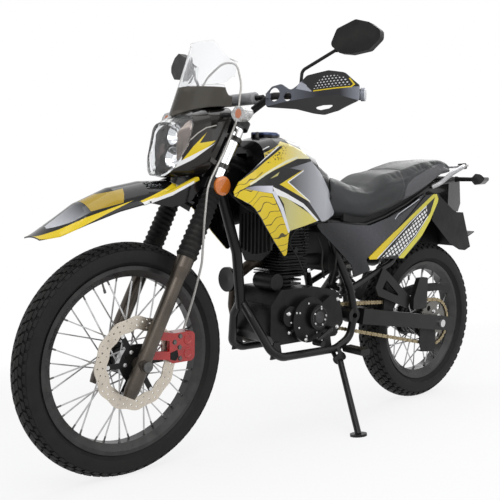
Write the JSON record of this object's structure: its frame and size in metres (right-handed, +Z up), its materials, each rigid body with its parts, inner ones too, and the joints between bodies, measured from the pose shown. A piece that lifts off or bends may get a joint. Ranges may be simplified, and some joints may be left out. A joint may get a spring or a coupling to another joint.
{
  "type": "dual sport motorcycle",
  "caption": "Dual sport motorcycle leaning on its side stand, with wire wheels, open frame, steering, folding stand and hinged filler lid.",
  "frame": {"origin": "on the floor, under the middle of the bounding box", "axes": "+X toward the front wheel, +Y to the rider's left, +Z up; the motorcycle leans toward +Y on its side stand"},
  "size_m": [2.0664, 0.993, 1.3874],
  "materials": {
    "frame_black": "satin black",
    "engine_black": "satin black casting",
    "exhaust_black": "heat resistant satin black",
    "gloss_black": "gloss",
    "moulded_black": "fine grained",
    "yellow_panel": "gloss",
    "seat_vinyl": "matte grained vinyl",
    "brushed_alloy": "brushed",
    "dark_alloy": "satin dark bronze",
    "silver_paint": "satin silver",
    "silver_pad": "vinyl cover",
    "chrome_steel": "polished",
    "spring_steel": "black coil",
    "chain_steel": "oiled",
    "disc_steel": "ground",
    "red_paint": "gloss red",
    "red_lens": "clear red",
    "orange_lens": "clear orange",
    "clear_lens": "clear",
    "rubber_black": "matte",
    "tyre_rubber": "matte",
    "wheel_black": "satin black"
  },
  "bodies": {
    "root": {"main_frame": "frame_black", "engine_crankcase": "engine_black", "engine_cylinder": "engine_black", "intake": "moulded_black", "exhaust_pipe": "exhaust_black", "muffler": "exhaust_black", "fuel_tank": "gloss_black", "tank_shrouds": "yellow_panel", "seat": "seat_vinyl", "side_covers": "gloss_black", "tail_panels": "yellow_panel", "rear_fender": "moulded_black", "luggage_rack": "silver_paint", "rear_lamps": "red_lens", "swingarm": "frame_black", "rear_shock": "spring_steel", "drive_chain": "chain_steel", "chain_guard": "moulded_black", "footpegs": "brushed_alloy", "foot_controls": "frame_black", "horn": "frame_black", "rear_axle": "brushed_alloy"},
    "steering": {"triple_clamps": "frame_black", "fork_tubes": "chrome_steel", "fork_gaiters": "rubber_black", "fork_lowers": "dark_alloy", "front_axle": "brushed_alloy", "handlebar": "frame_black", "bar_pad": "silver_pad", "bar_controls": "rubber_black", "handguards": "moulded_black", "mirrors": "moulded_black", "headlight_cowl": "gloss_black", "headlight_lens": "clear_lens", "windscreen": "clear_lens", "instruments": "moulded_black", "front_fender": "gloss_black", "front_indicators": "orange_lens", "brake_caliper": "red_paint", "brake_hose": "rubber_black"},
    "front_wheel": {"front_tyre": "tyre_rubber", "front_wheel": "wheel_black", "front_disc": "disc_steel"},
    "rear_wheel": {"rear_tyre": "tyre_rubber", "rear_wheel": "wheel_black", "rear_sprocket": "chain_steel"},
    "fuel_lid": {"fuel_cap": "brushed_alloy"},
    "side_stand": {"side_stand": "frame_black"}
  },
  "joints": [
    {"name": "steering", "type": "hinge", "parent": "root", "child": "steering", "pos_m": [0.40445, -0.07237, 0.81555], "axis": [-0.4462, 0.14, 0.8839], "range_deg": [-40, 40]},
    {"name": "front_wheel_spin", "type": "hinge", "parent": "steering", "child": "front_wheel", "pos_m": [0.68789, -0.14727, 0.3426], "axis": [0, 0.9877, -0.1564], "continuous": true},
    {"name": "rear_wheel_spin", "type": "hinge", "parent": "root", "child": "rear_wheel", "pos_m": [-0.71211, -0.15103, 0.3189], "axis": [0, 0.9877, -0.1564], "continuous": true},
    {"name": "side_stand", "type": "hinge", "parent": "root", "child": "side_stand", "pos_m": [-0.11211, -0.037, 0.24009], "axis": [0.0717, 0.851, 0.5202], "range_deg": [0, 102.3]},
    {"name": "fuel_lid", "type": "hinge", "parent": "root", "child": "fuel_lid", "pos_m": [0.19289, -0.04012, 1.01917], "axis": [0, 0.9877, -0.1564], "range_deg": [0, 95]}
  ]
}
